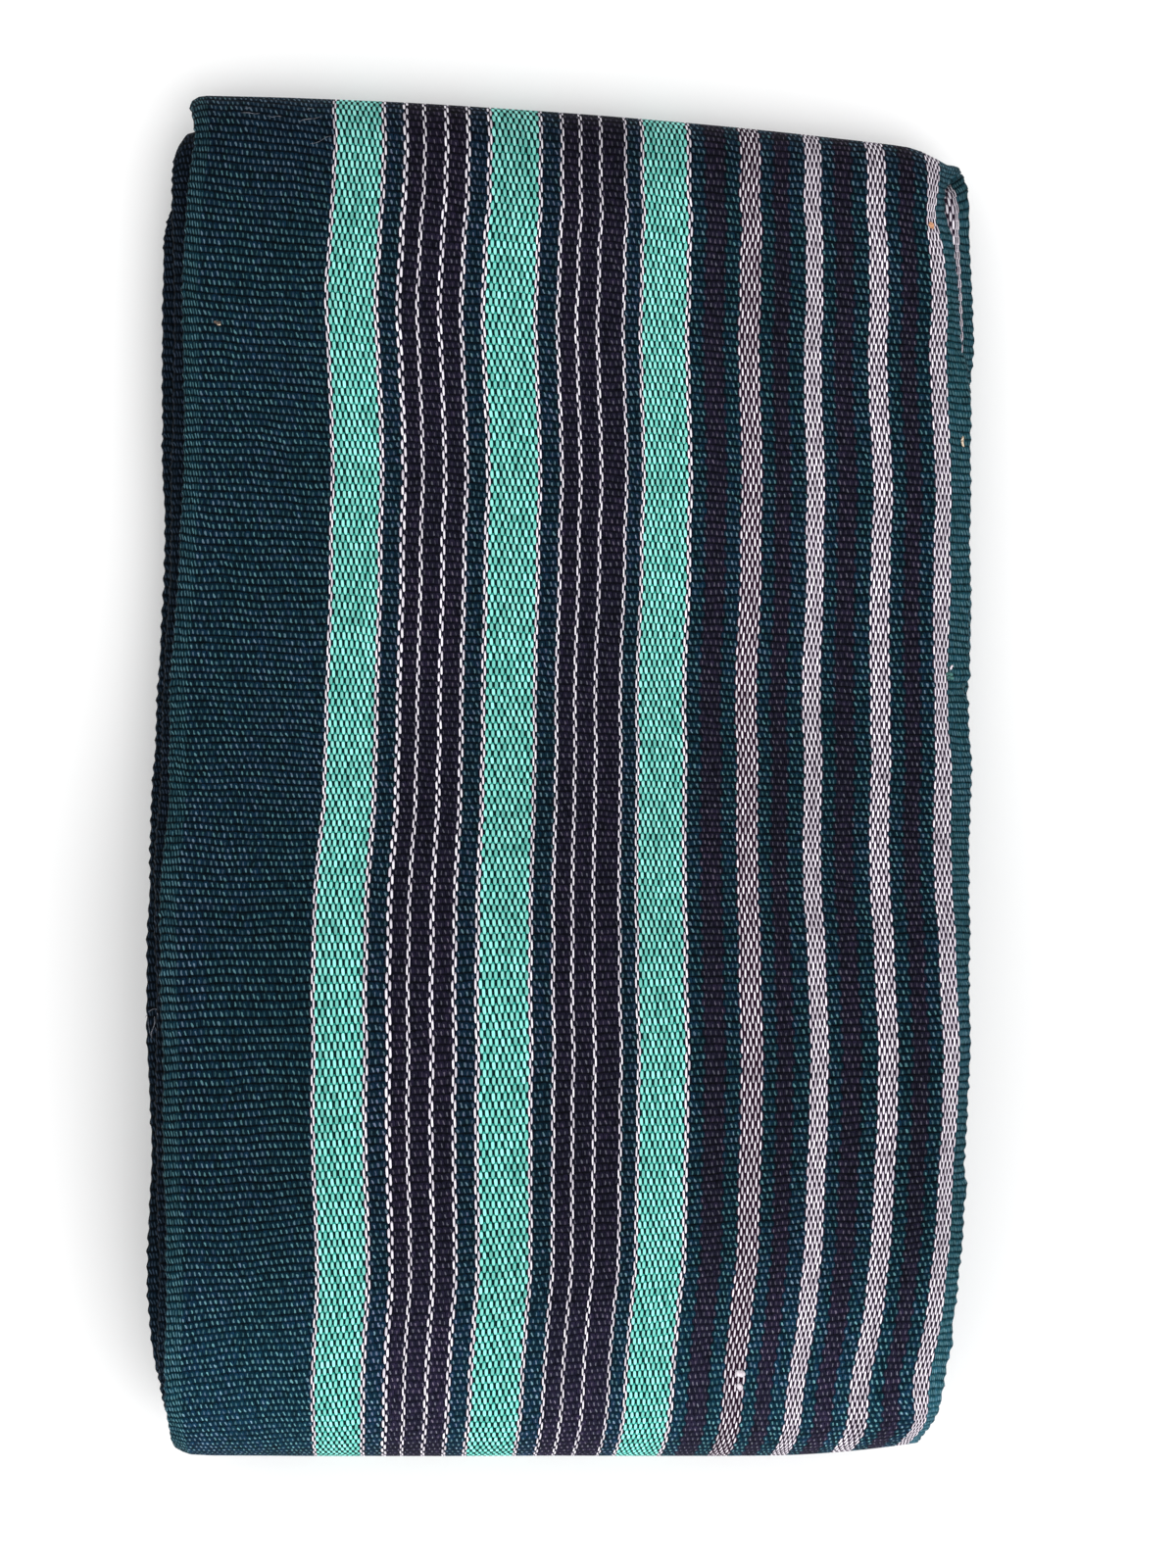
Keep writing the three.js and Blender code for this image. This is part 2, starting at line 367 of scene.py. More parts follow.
# Small things that lie on the cloth: colour, radius, and the points that each runs through
FIBRES = [
    ("pale", 0.03, [(-42.2, 85.6), (-41.2, 85.6), (-40.7, 85.5), (-40.2, 85.4), (-39.7, 85.5)]),
    ("pale", 0.03, [(-38.7, 85.1), (-37.9, 84.9), (-37.4, 85.1), (-36.8, 85.0)]),
    ("pale", 0.03, [(-34.6, 84.2), (-34.1, 84.5), (-33.1, 84.7), (-32.4, 84.7), (-31.5, 85.1)]),
    ("pale", 0.03, [(-33.1, 81.3), (-32.3, 81.4), (-31.5, 81.8), (-30.9, 82.2), (-30.3, 82.3)]),
    ("pale", 0.03, [(-33.6, 86.0), (-33.2, 86.2), (-32.8, 86.3)]),
    ("pale", 0.03, [(-41.7, 86.2), (-41.2, 86.3), (-40.8, 86.3)]),
    ("pale", 0.05, [(-52.8, -31.2), (-52.4, -30.5), (-51.7, -30.0), (-51.1, -30.2), (-50.9, -31.0)]),
    ("pale", 0.06, [(-51.6, -31.0), (-51.5, -31.7), (-51.7, -32.4), (-52.0, -33.1), (-51.9, -33.8)]),
    ("pale", 0.03, [(-52.5, -31.0), (-52.3, -32.4), (-52.0, -33.7)]),
    ("pale", 0.03, [(-51.5, -32.4), (-51.3, -32.8), (-51.1, -33.2)]),
    ("orange", 0.15, [(47.3, 71.2), (47.6, 71.1), (47.9, 70.9)]),
    ("orange", 0.17, [(47.2, 70.9), (47.6, 70.8), (48.0, 70.7)]),
    ("orange", 0.12, [(47.4, 70.6), (47.7, 70.5), (47.9, 70.5)]),
    ("orange", 0.10, [(47.9, 71.1), (47.8, 70.7), (47.9, 70.3)]),
    ("brown", 0.20, [(-45.5, 58.2), (-45.0, 58.0), (-44.6, 58.1)]),
    ("tan", 0.11, [(-45.2, 58.0), (-44.9, 57.8), (-44.6, 57.8)]),
    ("tan", 0.17, [(51.6, 43.3), (51.5, 42.8), (51.5, 42.4), (51.7, 41.9)]),
    ("white", 0.15, [(50.1, 13.6), (49.9, 13.3), (49.8, 13.0)]),
    ("teal", 0.26, [(49.2, 12.5), (49.7, 12.4), (50.1, 12.3)]),
    ("teal", 0.24, [(49.3, 12.0), (49.7, 11.9), (50.2, 11.9)]),
    ("white", 0.42, [(21.6, -75.9), (22.2, -76.0), (22.8, -76.1)]),
    ("white", 0.36, [(21.9, -77.3), (22.1, -77.7), (22.4, -78.1)]),
]

# The darkest and the lightest shade of each of them
FIBRE_SHADES = {
    "pale": ((0.06, 0.07, 0.09), (0.24, 0.25, 0.29)),
    "orange": ((0.30, 0.12, 0.06), (0.66, 0.36, 0.20)),
    "brown": ((0.03, 0.025, 0.025), (0.16, 0.11, 0.08)),
    "tan": ((0.36, 0.26, 0.17), (0.85, 0.72, 0.56)),
    "white": ((0.60, 0.52, 0.58), (0.85, 0.80, 0.85)),
    "teal": ((0.015, 0.07, 0.065), (0.07, 0.22, 0.20)),
}

# A fibre's points along it and round it, how flat it is, and how blunt its tips are
FIBRE_STEPS = 8
FIBRE_SIDES = 6
FIBRE_FLATNESS = 0.7
FIBRE_TIP = 0.97

# The shells: rows of faces to a pick, the step of a side path and the points of its folds,
# the points round a rim, and how many warp ends short of the selvedges the skins stop
ROWS_PER_PICK = 3
PATH_STEP = 0.2
FOLD_POINTS = 90
RIM_POINTS = 3
RIM_ENDS = 1.5

# Warp ends between two points across: at most, on the face of the outer turn, and then how
# many even columns each of the other skins has besides those at its selvedges
FACE_SPACING = 9
LINING_COLUMNS = 8
COVERED_COLUMNS = 9
INNER_COLUMNS = 6
PLAIN_LINING = 2

# The ribs and the loops of the selvedges vary between these shares of their size. A rim
# takes less of a rib's height than a skin does.
RIB_SIZES = (0.75, 1.15)
LOOP_SIZES = (0.4, 1.3)
LOOP_REACH = 1.3
RIM_RELIEF = 0.45
INNER_RIB = 0.04

# The selvedges sway a little over these numbers of picks, and droop below the middle. The
# rows lie square at the strip's two cut ends and take up their slant within SKEW_FADE.
SWAY = 0.22
SWAY_PICKS = (46, 39)
EDGE_DROOP = 0.8
INNER_DROOP = 0.6
SKEW_FADE = 25.0

# Slow waves over the cloth: height, the shares of x and y in them, wavelength and seed
RIPPLES = [
    (0.13, 1.0, 0.5, 19, 21),
    (0.13, 1.0, -0.7, 27, 22),
]
HILLS = [
    (0.16, 0.35, 1.0, 62, 3),
    (0.10, 1.0, -0.2, 37, 8),
]

# The inner turns: what the space past LOOSE_FROM adds to their waves, the wavelength and the
# first seed of these, the waves of the selvedges, and the most of a layer that cloth fills
LOOSE_FROM = 0.7
LOOSE_SHARE = 0.16
LOOSE_LENGTH = 48
LOOSE_SEED = 11
EDGE_WAVE = 0.5
EDGE_WAVE_LENGTH = 17
EDGE_WAVE_STEP = 2.1
PACKED_SHARE = 0.40

# How far the third turn stands out at the right, where the outer turn covers it
THIRD_RIGHT = -0.6

# How far the second turn's last white stripe is pushed out near the top fold, and from where
SQUEEZE = 1.85
SQUEEZE_FROM = 40
SQUEEZE_TO = 60

UV_NAME = "weave"
RAMP_ENDS = 110

# Noises over the weave: what an end and a pick count for, the layer, and then the scale,
# detail and roughness of the noise
NOISES = {
    "wide": (0.03, 0.03, 0.0, 1.0, 4.0, 0.6),
    "sway": (0.012, 0.022, 4.0, 1.0, 1.0, 0.5),
    "lift": (0.05, 0.12, 9.0, 1.0, 2.0, 0.5),
    "fibre": (1.5, 0.6, 2.0, 2.0, 3.0, 0.7),
    "wobble": (0.9, 1.3, 13.0, 1.0, 1.0, 0.5),
    "patch": (0.35, 0.7, 6.0, 1.0, 2.0, 0.6),
}

# The floats wander by these parts of an end and of a pick
SWAY_ENDS = 0.5
LIFT_PICKS = 0.7

# A float covers its neighbours within these half sizes, and more at its lower end
COVER_WIDTH = 0.98
COVER_LENGTH = 0.78
COVER_TILT = 0.3

# Where the painted light and shade of the cloth change, in metres of the frame: along it, at
# the top fold and down the bottom fold, and across it, from the middle to the left
AT_TOP = (0.066, 0.084)
AT_NOSE = (0.050, 0.088)
AT_LEFT = (-0.03, 0.03)

# The painted shade line between two ribs, in picks from a rib's middle
RIB_LINE = (0.26, 0.48)

# Dark yarns lean to green in some places and to mauve in others
PLAIN = (1.0, 1.0, 1.0, 1.0)
GREENISH = (0.84, 1.04, 0.97, 1.0)
MAUVE = (1.15, 0.92, 1.04, 1.0)

# Painted shadow: what the left part's colours are multiplied by, on the outer turn and on the
# turns under it
SHADOWS = ((1.0, 1.0, 1.0), (0.34, 0.24, 0.32))

BUMP_HEIGHT = 0.00006

# The stage, in metres, and the camera's lens and film width in millimetres
FLOOR_SIZE = 30
LIGHT_PLACE = (0.5, -0.65, 1.1)
LIGHT_SIZE = 1.2
CAMERA_PLACE = (0.003, -0.00175, 0.360)
CAMERA_LENS = 61.6
CAMERA_FILM = 36

height = curve(FACE, "height")
face_edges = (curve(FACE, "left"), curve(FACE, "right"))
base_edges = (curve(BASE, "left"), curve(BASE, "right"))
rib_pitch = curve(RIBS, "pitch")
rib_fall = curve(RIBS, "fall")
drift_curves = [curve(DRIFT, name) for name in DRIFT_STRIPES]


def smooth_step(value, low, high):
    """0 below low, 1 above high, and a smooth rise between."""
    t = np.clip((value - low) / (high - low), 0, 1)
    return t * t * (3 - 2 * t)


def corner_shift(y, from_left, from_right, place, tips):
    """How far a point is drawn back along the strip near the bundle's four corners."""
    shift = 0 * y
    for end, sign, tip in (("bottom", -1, tips[0]), ("top", 1, tips[1])):
        near = smooth_step(sign * y, sign * tip - CORNER_DEPTH, sign * tip)
        for distance, (drop, width) in zip((from_left, from_right), CORNERS[place][end]):
            shift = shift - sign * drop * near * np.clip(1 - distance / width, 0, 1) ** 2
    return shift


def row_shift(y, x):
    """How far a row's point at x lies from the row's middle, along the strip."""
    share = smooth_step(y, SLOPE_FROM, SLOPE_TO)
    return -share * (ROW_SLOPE * x + ROW_BOW * x * x)


def pucker(y):
    """How far the outer turn's right selvedge is pushed out by itself."""
    bumps = zip(*(PUCKERS[name] for name in ("y", "reach", "out")))
    return sum(out * np.exp(-(((y - middle) / reach) ** 2)) for middle, reach, out in bumps)


def wander(t, wavelength, seed):
    """A slow random wave from -1 to 1, the same each time for the same seed."""
    phases = np.random.default_rng(seed).uniform(0, 2 * math.pi, 4)
    parts = [
        np.sin(2 * math.pi * t * k / wavelength + phase) / k
        for k, phase in zip((1.0, 1.7, 2.9, 4.3), phases)
    ]
    return sum(parts) / 1.9


def waves(rows, x, y):
    """The sum of some slow waves over the cloth."""
    return sum(
        size * wander(along_x * x + along_y * y, wavelength, seed)
        for size, along_x, along_y, wavelength, seed in rows
    )


class SidePath:
    """The middle of one turn's cloth in the side view, from its start to its end."""

    def __init__(self, under, over, tail, turn):
        self.points = []
        bottom_tip, bottom_fold = turn["bottom"]
        bottom_centre = bottom_tip + bottom_fold
        half = CAD_CLOTH / 2
        self.pass_over(turn["start"], bottom_centre, under, 0)
        self.fold(bottom_centre, half - bottom_fold, under, over, rising=True)
        if turn["top"] is None:
            self.pass_over(bottom_centre, turn["tail"], over, 1)
        else:
            top_tip, top_fold = turn["top"]
            top_centre = top_tip - top_fold
            self.pass_over(bottom_centre, top_centre, over, 1)
            self.fold(top_centre, top_fold - half, over, tail, rising=False)
            self.pass_over(top_centre, turn["tail"], tail, 0)
        points = np.concatenate(self.points)
        keep = np.ones(len(points), bool)
        keep[1:] = np.hypot(*np.diff(points[:, :2], axis=0).T) > 1e-6
        points = points[keep]
        self.y, self.z, self.top = points.T
        self.tips = (self.y.min(), self.y.max())
        steps = np.hypot(np.diff(self.y), np.diff(self.z))
        self.arc = np.concatenate([[0], np.cumsum(steps)])
        self.length = self.arc[-1]
        dy, dz = np.gradient(self.y, self.arc), np.gradient(self.z, self.arc)
        size = np.hypot(dy, dz)
        self.out_y, self.out_z = -dz / size, dy / size
        on_face = self.top[1:] > 0
        pitch = np.where(on_face, rib_pitch(self.y[1:]), HIDDEN_PITCH)
        self.picks = np.concatenate([[0], np.cumsum(steps / pitch)])

    def pass_over(self, start, end, height_at, top):
        """Adds a stretch that runs along the bundle, on top or underneath."""
        y = np.linspace(start, end, max(2, int(abs(end - start) / PATH_STEP)))
        self.points.append(np.stack([y, height_at(y), np.full(len(y), float(top))], 1))

    def fold(self, centre, reach, first, last, rising):
        """Adds a half turn from one stretch to the next."""
        low, high = float(first(centre)), float(last(centre))
        angle = np.linspace(-math.pi / 2, math.pi / 2, FOLD_POINTS)[1:-1]
        share = (1 + np.sin(angle)) / 2
        y = centre + reach * np.cos(angle)
        z = low + (high - low) * share
        self.points.append(np.stack([y, z, share if rising else 1 - share], 1))

    def at(self, arc, name):
        """One of the path's values at some distances along it."""
        return np.interp(arc, self.arc, getattr(self, name))


def across(ends, drift):
    """Each column's share of the width, and its drift at every row."""
    share = np.interp(ends, BORDERS, SHARES)
    stations = [0, *(BORDERS[i] for i in DRIFT_STRIPES.values()), ENDS]
    rows = [np.interp(ends, stations, [0, *values, 0]) for values in drift.T]
    return share, np.array(rows)


def cloth_mesh(name, path, columns, lining, edges, half, shift, face_z, ribs):
    """A closed shell of cloth along a side path, with its weave numbered in its UV map.

    columns and lining are the warp ends that the outer and the inner skin have points at.
    edges(y, top) gives the selvedges, half(y) half the thickness, shift(y) the drift of the
    stripes and face_z(x, y) the low hills of the face. ribs holds the relief of the edges.
    """
    count = int(path.picks[-1] * ROWS_PER_PICK)
    pick = np.arange(count + 1) / ROWS_PER_PICK
    middle = np.interp(pick, path.picks, path.arc)
    rng = np.random.default_rng(len(name) + columns.size)
    rib_sizes = rng.uniform(*RIB_SIZES, int(pick[-1]) + 2)
    phase = pick - np.floor(pick)
    rib = ribs["rib"] * rib_sizes[np.floor(pick).astype(int)] * (1 - np.abs(2 * phase - 1) ** 3)
    loops = ribs["loop"] * rng.uniform(*LOOP_SIZES, (2, int(pick[-1]) + 4))
    turn_left = loops[0][((pick + 1) / 2).astype(int)] * np.sin(math.pi * pick / 2) ** 2
    turn_right = loops[1][(pick / 2).astype(int)] * np.cos(math.pi * pick / 2) ** 2
    sway_left = SWAY * wander(pick, SWAY_PICKS[0], len(name))
    sway_right = SWAY * wander(pick, SWAY_PICKS[1], len(name) + 5)

    middle_y, middle_top = path.at(middle, "y"), path.at(middle, "top")
    left, right = edges(middle_y, middle_top)
    fade = smooth_step(middle, 0, SKEW_FADE) * smooth_step(path.length - middle, 0, SKEW_FADE)

    def skin(ends, depth, rim=None):
        """One line of points for each row: depth is from -1, inside, to 1, outside."""
        share, drift = across(ends, shift(middle_y))
        x = left[:, None] + share * (right - left)[:, None]
        skew = rib_fall(middle_y)[:, None] * x + row_shift(middle_y[:, None], x)
        skew = skew + waves(RIPPLES, x, middle_y[:, None])
        arc = np.clip(middle[:, None] - skew * fade[:, None], 0, path.length)
        arc[0], arc[-1] = middle[0], middle[-1]
        y, top = path.at(arc, "y"), path.at(arc, "top")
        low, high = edges(y, top)
        low = low - sway_left[:, None]
        high = high + sway_right[:, None]
        x = low + share * (high - low) + drift * top
        if rim is not None:
            side, inset = rim
            edge, inward = (low, 1) if side < 0 else (high, -1)
            x = edge + inward * inset * half(y)
        x = x - turn_left[:, None] * np.clip(1 - (x - low) / LOOP_REACH, 0, 1)
        x = x + turn_right[:, None] * np.clip(1 - (high - x) / LOOP_REACH, 0, 1)
        if ribs["corners"] == "outer":
            x = x + pucker(y) * top * np.clip((ends - BORDERS[-2]) / WARP[-1][1], 0, 1)
        share_out = RIM_RELIEF if rim is not None else (1 + top) / 2
        thick = depth * (half(y) + rib[:, None] * share_out)
        lengthwise = 2 * (x - low) / (high - low) - 1
        z = path.at(arc, "z") + face_z(x, y) * top - ribs["droop"] * top * lengthwise**4
        drawn_back = corner_shift(y, x - low, high - x, ribs["corners"], path.tips)
        y = y + row_shift(y, x) + drawn_back + thick * path.at(arc, "out_y")
        z = z + thick * path.at(arc, "out_z")
        number = np.broadcast_to(ends, x.shape)
        return np.stack([x, y, z, number, np.broadcast_to(pick[:, None], x.shape)], 2)

    turns = [math.pi * (k + 1) / (RIM_POINTS + 1) for k in range(RIM_POINTS)]
    first, last = columns[0], ENDS - columns[-1]

    def rim(side, edge, reach):
        """The points round one selvedge: side is -1 at the left and 1 at the right."""
        return [
            skin(
                np.array([edge - side * reach * (1 - math.sin(angle))]),
                side * math.cos(angle),
                rim=(side, 1 - math.sin(angle)),
            )
            for angle in turns
        ]

    rim_right, rim_left = rim(1, ENDS, last), rim(-1, 0, first)
    rings = np.concatenate([skin(columns, 1), *rim_right, skin(lining[::-1], -1), *rim_left], 1)
    rows, size = rings.shape[:2]
    index = np.arange(rows * size).reshape(rows, size)
    after = np.roll(index, -1, 1)
    quads = np.stack([index[:-1], after[:-1], after[1:], index[1:]], 2).reshape(-1, 4)
    faces = [*quads.tolist(), index[0][::-1].tolist(), index[-1].tolist()]
    flat = rings.reshape(-1, 5)
    mesh = bpy.data.meshes.new(name)
    mesh.from_pydata((flat[:, :3] * MM).tolist(), [], faces)
    corners = np.zeros(len(mesh.loops), np.int32)
    mesh.loops.foreach_get("vertex_index", corners)
    layer = mesh.uv_layers.new(name=UV_NAME)
    layer.data.foreach_set("uv", flat[corners][:, 3:].astype(np.float32).ravel())
    mesh.shade_smooth()
    mesh.validate()
    cloth = bpy.data.objects.new(name, mesh)
    bpy.context.scene.collection.objects.link(cloth)
    return cloth


def stripe_columns(finest):
    """The warp ends that a skin has points at: every stripe's border, and no gap wider."""
    marks = [RIM_ENDS]
    for low, high in zip(BORDERS[:-1], BORDERS[1:]):
        parts = max(1, math.ceil((high - low) / finest))
        marks += [low + (high - low) * (k + 1) / parts for k in range(parts)]
    marks[-1] = ENDS - RIM_ENDS
    return np.array([mark for mark in marks if RIM_ENDS <= mark <= ENDS - RIM_ENDS])


def even_columns(count):
    """A few warp ends, evenly spaced, closer at the two selvedges."""
    middle = np.linspace(16, ENDS - 20, count)
    return np.array([RIM_ENDS, 6, *middle, ENDS - 8, ENDS - RIM_ENDS])


class Value:
    """A number that changes over the surface, so that shader sums read as Python."""

    def __init__(self, shade, socket):
        self.shade = shade
        self.socket = socket

    def calc(self, operation, *others):
        """One Math node on this number and others."""
        sockets = {i: other for i, other in enumerate((self, *others))}
        return self.shade.node("ShaderNodeMath", {"operation": operation}, sockets)

    def __rsub__(self, other):
        sockets = {0: other, 1: self}
        return self.shade.node("ShaderNodeMath", {"operation": "SUBTRACT"}, sockets)

    __add__ = __radd__ = partialmethod(calc, "ADD")
    __sub__ = partialmethod(calc, "SUBTRACT")
    __mul__ = __rmul__ = partialmethod(calc, "MULTIPLY")
    __truediv__ = partialmethod(calc, "DIVIDE")
    __pow__ = partialmethod(calc, "POWER")
    __abs__ = partialmethod(calc, "ABSOLUTE")
    __round__ = partialmethod(calc, "ROUND")
    __gt__ = partialmethod(calc, "GREATER_THAN")


class Shade:
    """A material's node tree while it is being built."""

    def __init__(self, name):
        self.material = bpy.data.materials.new(name)
        self.material.use_nodes = True
        self.tree = self.material.node_tree
        self.tree.nodes.clear()

    def node(self, kind, settings=None, sockets=None, output=0):
        """Adds a node, sets its settings, fills its sockets and returns one output."""
        made = self.tree.nodes.new(kind)
        for name, value in (settings or {}).items():
            if name == "stops":
                self.fill_ramp(made.color_ramp, value)
            else:
                setattr(made, name, value)
        for name, value in (sockets or {}).items():
            socket = made.inputs[name]
            if isinstance(value, Value):
                self.tree.links.new(value.socket, socket)
            else:
                socket.default_value = value
        return Value(self, made.outputs[output]) if len(made.outputs) else made

    def fill_ramp(self, ramp, stops):
        """Gives a ramp its steps of colour, each up to the next one's place."""
        ramp.interpolation = "CONSTANT"
        while len(ramp.elements) > 1:
            ramp.elements.remove(ramp.elements[-1])
        for i, (place, colour) in enumerate(stops):
            stop = ramp.elements[0] if i == 0 else ramp.elements.new(place)
            stop.position = place
            stop.color = colour

    def mix(self, share, first, second):
        """A colour between two others."""
        settings = {"data_type": "RGBA"}
        return self.node("ShaderNodeMix", settings, {0: share, 6: first, 7: second}, output=2)

    def times(self, colour, other):
        """One colour multiplied by another."""
        sockets = {0: colour, 1: other}
        return self.node("ShaderNodeVectorMath", {"operation": "MULTIPLY"}, sockets)

    def scaled(self, colour, factor):
        """A colour made lighter or darker by a number."""
        sockets = {0: colour, "Scale": factor}
        return self.node("ShaderNodeVectorMath", {"operation": "SCALE"}, sockets)

    def rise(self, value, low, high):
        """0 below low, 1 above high, and a smooth rise between."""
        settings = {"interpolation_type": "SMOOTHSTEP"}
        sockets = {"Value": value, "From Min": low, "From Max": high}
        return self.node("ShaderNodeMapRange", settings, sockets)

    def point(self, x, y, z=0.0):
        """A point from three numbers."""
        return self.node("ShaderNodeCombineXYZ", None, {"X": x, "Y": y, "Z": z})

    def clouds(self, point, scale, detail=2.0, roughness=0.5):
        """Soft noise from 0 to 1."""
        sockets = {"Vector": point, "Scale": scale, "Detail": detail, "Roughness": roughness}
        return self.node("ShaderNodeTexNoise", None, sockets)

    def dice(self, point):
        """One random number for each whole point."""
        return self.node("ShaderNodeTexWhiteNoise", {"noise_dimensions": "3D"}, {0: point})

    def finish(self, sockets, bump=None):
        """The surface shader, with its sockets by name."""
        settled = dict(sockets)
        if bump is not None:
            settled["Normal"] = bump
        surface = self.node("ShaderNodeBsdfPrincipled", None, settled)
        self.node("ShaderNodeOutputMaterial", None, {"Surface": surface})
        return self.material


def yarn_colour(shade, kind, part):
    """A colour for each kind of yarn, from the YARNS table."""
    stops = [(i / len(YARNS), (*yarn[part], 1)) for i, yarn in enumerate(YARNS.values())]
    return shade.node("ShaderNodeValToRGB", {"stops": stops}, {"Fac": kind})


def yarn_number(shade, kind, part):
    """A number for each kind of yarn, from the YARNS table."""
    values = [yarn[part] for yarn in YARNS.values()]
    stops = [(i / len(values), (v, v, v, 1)) for i, v in enumerate(values)]
    return shade.node("ShaderNodeValToRGB", {"stops": stops}, {"Fac": kind})


def warp_kind(shade, end):
    """The kind of yarn of a warp end, from the warp chart, as a place in the yarn ramps.

    A ramp can tell only 256 places apart, so each ramp holds RAMP_ENDS ends of the chart.
    """
    names = list(YARNS)
    kind = None
    for base in range(0, ENDS, RAMP_ENDS):
        stops = [
            (max(low - base, 0) / RAMP_ENDS, (*[(names.index(yarn) + 0.5) / len(names)] * 3, 1))
            for low, high, (yarn, _, _) in zip(BORDERS, BORDERS[1:], WARP)
            if low < base + RAMP_ENDS and high > base
        ]
        place = (end + (0.5 - base)) / RAMP_ENDS
        part = shade.node("ShaderNodeValToRGB", {"stops": stops}, {"Fac": place})
        kind = part if kind is None else shade.mix(place > 0.0, kind, part)
    return kind


def float_lattice(end, pick, offset):
    """Every second float of a plain weave: its end and pick, the place on it, its cover."""
    number = round((end - (0.5 + offset)) / 2) * 2 + offset
    row = round((pick - (0.5 + offset)) / 2) * 2 + offset
    sideways = end - 0.5 - number
    lengthwise = pick - 0.5 - row
    cover = 1 - (abs(sideways) / COVER_WIDTH) ** 2.2 - (abs(lengthwise) / COVER_LENGTH) ** 2.6
    return number, row, sideways, lengthwise, cover - lengthwise * COVER_TILT


def dash(sideways, lengthwise, width, length):
    """A rounded dash: above 0 inside its half sizes, and 1 at its middle."""
    return 1 - (abs(sideways) / width) ** 3 - (abs(lengthwise) / length) ** 4


def weave_noise(shade, end, pick, name):
    """One of the NOISES at a place of the weave."""
    across, along, layer, *settings = NOISES[name]
    return shade.clouds(shade.point(end * across, pick * along, layer), *settings)


def woven_material(name, shadow):
    """Warp-faced plain weave: each float is one dash of its yarn, in the warp chart's colours."""
    shade = Shade(name)
    places = shade.node("ShaderNodeUVMap", {"uv_map": UV_NAME})
    end, pick = (
        shade.node("ShaderNodeSeparateXYZ", None, {0: places}, output=i) for i in (0, 1)
    )
    place = shade.node("ShaderNodeTexCoord", output=3)
    aside, along = (
        shade.node("ShaderNodeSeparateXYZ", None, {0: place}, output=i) for i in (0, 1)
    )
    wide, sway, lift = (weave_noise(shade, end, pick, key) for key in ("wide", "sway", "lift"))
    end = end + (sway - 0.5) * SWAY_ENDS
    pick = pick + (lift - 0.5) * LIFT_PICKS
    fibre, wobble, patch = (
        weave_noise(shade, end, pick, key) for key in ("fibre", "wobble", "patch")
    )

    # The float that lies on top here, of the two sets that interlace
    first = float_lattice(end, pick, 0)
    second = float_lattice(end, pick, 1)
    other = second[4] > first[4]
    number, row, sideways, lengthwise, cover = (
        one + other * (two - one) for one, two in zip(first, second)
    )
    kind = warp_kind(shade, number)
    yarn = {
        part: yarn_number(shade, kind, part)
        for part, value in YARNS["green"].items()
        if isinstance(value, float)
    }
    chance = shade.dice(shade.point(number, row))
    luck = shade.dice(shade.point(number, row, 7.0))
    per_end = shade.dice(shade.point(number, 3.0, 5.0))
    per_row = shade.dice(shade.point(3.0, row, 11.0))

    # Its slant and its place, less even on the dark yarns, which have the deeper grooves
    rough = yarn["groove"]
    sideways = sideways + lengthwise * yarn["lean"] * (luck * 1.6 + 0.2)
    sideways = sideways + (chance - 0.5) * (0.2 + rough * 0.4) + (wobble - 0.5) * rough * 1.2
    raised = lengthwise + 0.13 + (chance - 0.5) * rough * 0.3

    # The gap round it, its body and its painted highlight, all three frayed by the fibres
    body = dash(sideways, lengthwise, yarn["width"], yarn["length"])
    lit = dash(sideways, raised, yarn["lit_width"], yarn["lit_length"])
    on_body = shade.rise(body + (fibre - 0.5) * 0.4, -0.1, 0.4)
    on_lit = shade.rise(lit + (fibre - 0.5) * (0.9 + rough * 0.9), -0.1, 0.5)
    catch = yarn["catch"] * (0.5 - rough * 0.25 + luck * (0.65 + rough * 0.35))
    ground = shade.scaled(yarn_colour(shade, kind, "body"), 1 + (patch - 0.5) * rough * 3)
    colour = shade.mix(on_body, yarn_colour(shade, kind, "gap"), ground)
    colour = shade.mix(on_lit * catch, colour, yarn_colour(shade, kind, "crest"))

    # Greenish and mauve places, with more of the mauve near the top fold as painted shade
    at_top = shade.rise(along, *AT_TOP)
    dusk = shade.rise(patch + (wide - 0.5) * 0.8 + at_top * 0.12, 0.42, 0.66)
    tint = shade.mix(yarn["dusk"], PLAIN, shade.mix(dusk, GREENISH, MAUVE))
    colour = shade.times(colour, tint)

    # Painted shade: the dark line between two ribs, softer where the bottom fold turns down to the
    # light
    at_nose = shade.rise(along * -1, *AT_NOSE)
    from_rib = abs(pick - 0.5 - round(pick - 0.5))
    groove = shade.rise(from_rib + (fibre - 0.5) * 0.1, *RIB_LINE)
    groove = groove * rough * (1 - at_nose * 0.35)

    # How light it is: each float, end and rib has its own tone, and each stretch of the face, with
    # painted light down the bottom fold and painted shade at the top fold
    tone = 0.76 + chance * 0.22 + per_end * 0.14 + per_row * 0.14 + (wide - 0.5) * 0.6
    tone = tone * (1 + at_nose * (0.05 + rough * 1.25) - at_top * 0.25)
    colour = shade.scaled(colour, tone * (1 - groove))
    # Painted shadow over the left part, in this material's SHADOWS colour
    painted_left_shadow = shade.mix(shade.rise(aside * -1, *AT_LEFT), PLAIN, (*shadow, 1))
    colour = shade.times(colour, painted_left_shadow)

    depth = cover.calc("MAXIMUM", 0.0) ** 0.5 + (fibre - 0.5) * 0.3 - groove * 0.3
    relief_sockets = {"Strength": 1.0, "Distance": BUMP_HEIGHT, "Height": depth}
    bump = shade.node("ShaderNodeBump", None, relief_sockets)
    return shade.finish(
        {
            "Base Color": colour,
            "Roughness": 0.9 - on_lit * 0.2,
            "Specular IOR Level": 0.06,
            "Sheen Weight": 0.02,
            "Sheen Roughness": 0.4,
        },
        bump,
    )


